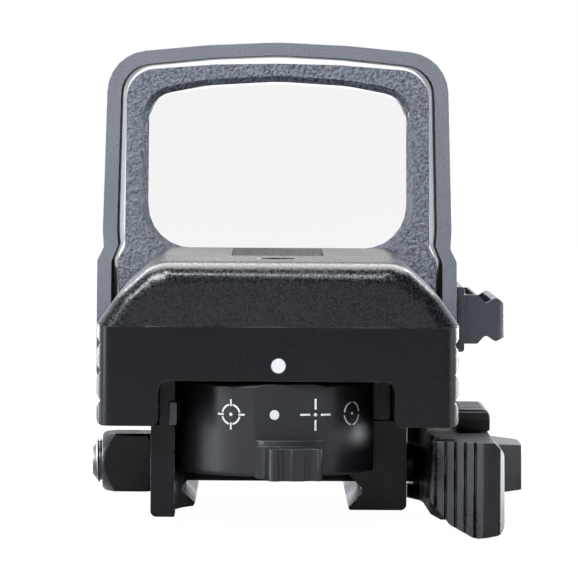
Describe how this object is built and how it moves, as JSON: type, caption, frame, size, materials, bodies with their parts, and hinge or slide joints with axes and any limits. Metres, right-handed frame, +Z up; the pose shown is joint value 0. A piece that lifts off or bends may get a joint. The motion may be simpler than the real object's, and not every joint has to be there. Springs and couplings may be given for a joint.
{
  "type": "open reflex red dot sight",
  "caption": "Open reflex red dot sight with a raked window frame, U-shaped hood, reticle selector drum, side battery drawer and a quick-detach lever clamp for a cross-slot rail.",
  "frame": {"origin": "centre of the seat face that rests on top of the rail", "axes": "+Y along the line of sight towards the objective end, +Z up, +X to the right as the user looks through the window"},
  "size_m": [0.0527, 0.0861, 0.0579],
  "materials": {
    "housing_black": "matt black anodised aluminium",
    "cast_frame_black": "rough cast, black painted",
    "hood_black": "fine bead-blasted black",
    "drum_black": "fine satin black",
    "moulded_black": "moulded, fine texture",
    "mount_black": "satin black anodised",
    "lever_black": "satin black anodised",
    "black_steel": "black oxide",
    "bright_steel": "ground",
    "brass": "turned",
    "rubber_black": "matt",
    "coated_glass": "polished, thin coating",
    "emitter_alloy": "dark anodised",
    "emitter_red": "clear red",
    "board_green": "solder mask"
  },
  "bodies": {
    "housing": {"base_body": "housing_black", "rear_cover": "housing_black", "cover_gasket": "rubber_black", "cover_screws": "black_steel", "lens_frame": "cast_frame_black", "frame_screws": "black_steel", "objective_lens": "coated_glass", "lens_retainer": "moulded_black", "hood": "hood_black", "hood_screws": "black_steel", "axle_bush": "brass", "detent_spring": "bright_steel", "stop_peg": "black_steel", "emitter_window": "coated_glass", "circuit_board": "board_green", "battery_contacts": "brass", "mount_base": "mount_black", "mount_screws": "black_steel", "jaw_guide_pins": "bright_steel", "jaw_springs": "bright_steel", "cross_bolt": "black_steel", "nut_washer": "bright_steel", "lever_pivot_pin": "bright_steel"},
    "selector": {"selector_drum": "drum_black", "selector_axle": "bright_steel", "axle_clip": "bright_steel", "selector_wiper": "brass"},
    "detent": {"detent_ball": "bright_steel"},
    "elevation_adjuster": {"elevation_screw": "black_steel", "elevation_clip": "bright_steel"},
    "emitter_carriage": {"emitter_frame": "emitter_alloy"},
    "windage_adjuster": {"windage_screw": "black_steel", "windage_clip": "bright_steel"},
    "emitter": {"emitter_block": "emitter_alloy", "emitter_led": "emitter_red"},
    "up_button": {"button_up": "rubber_black"},
    "down_button": {"button_down": "rubber_black"},
    "battery_drawer": {"battery_tray": "moulded_black", "coin_battery": "bright_steel", "tray_seal": "rubber_black"},
    "jaw": {"moving_jaw": "mount_black", "cam_washer": "bright_steel"},
    "nut": {"lock_nut": "mount_black"},
    "lever": {"qd_lever": "lever_black", "lock_spring": "bright_steel"},
    "lock": {"lever_lock": "lever_black"}
  },
  "joints": [
    {"name": "selector_turn", "type": "hinge", "parent": "housing", "child": "selector", "pos_m": [0.00034, -0.028, 0.005], "axis": [0, 0, 1], "range_deg": [-52, 26]},
    {"name": "detent_dip", "type": "slide", "parent": "housing", "child": "detent", "axis": [0, 0, -1], "range_m": [0, 0.0002]},
    {"name": "elevation_turn", "type": "hinge", "parent": "housing", "child": "elevation_adjuster", "pos_m": [0.00055, -0.0262, 0.022], "axis": [0, 0, 1], "range_deg": [-360, 360]},
    {"name": "elevation_travel", "type": "slide", "parent": "housing", "child": "emitter_carriage", "axis": [0, 0, 1], "range_m": [-0.0005, 0.0005]},
    {"name": "windage_turn", "type": "hinge", "parent": "emitter_carriage", "child": "windage_adjuster", "pos_m": [-0.01, -0.0213, 0.0196], "axis": [1, 0, 0], "range_deg": [-360, 360]},
    {"name": "windage_travel", "type": "slide", "parent": "emitter_carriage", "child": "emitter", "axis": [1, 0, 0], "range_m": [-0.0005, 0.0005]},
    {"name": "up_press", "type": "slide", "parent": "housing", "child": "up_button", "axis": [1, 0, 0], "range_m": [0, 0.0005], "stiffness_N_per_m": 400},
    {"name": "down_press", "type": "slide", "parent": "housing", "child": "down_button", "axis": [1, 0, 0], "range_m": [0, 0.0005], "stiffness_N_per_m": 400},
    {"name": "battery_pull", "type": "slide", "parent": "housing", "child": "battery_drawer", "axis": [1, 0, 0], "range_m": [0, 0.03]},
    {"name": "lever_swing", "type": "hinge", "parent": "housing", "child": "lever", "pos_m": [0.0226, -0.006, 0], "axis": [0, 0, 1], "range_deg": [0, 100]},
    {"name": "jaw_slide", "type": "slide", "parent": "housing", "child": "jaw", "axis": [1, 0, 0], "range_m": [0, 0.0025]},
    {"name": "lock_push", "type": "slide", "parent": "lever", "child": "lock", "axis": [0, 1, 0], "range_m": [0, 0.003]},
    {"name": "nut_turn", "type": "hinge", "parent": "housing", "child": "nut", "pos_m": [-0.0178, -0.006, -0.0006], "axis": [1, 0, 0], "continuous": true}
  ],
  "couplings": [
    {"joint": "elevation_turn", "follows": "elevation_travel", "rad_per_m": 12566},
    {"joint": "windage_turn", "follows": "windage_travel", "rad_per_m": 12566},
    {"joint": "jaw_slide", "follows": "lever_swing", "m_per_rad": 0.0014324}
  ]
}
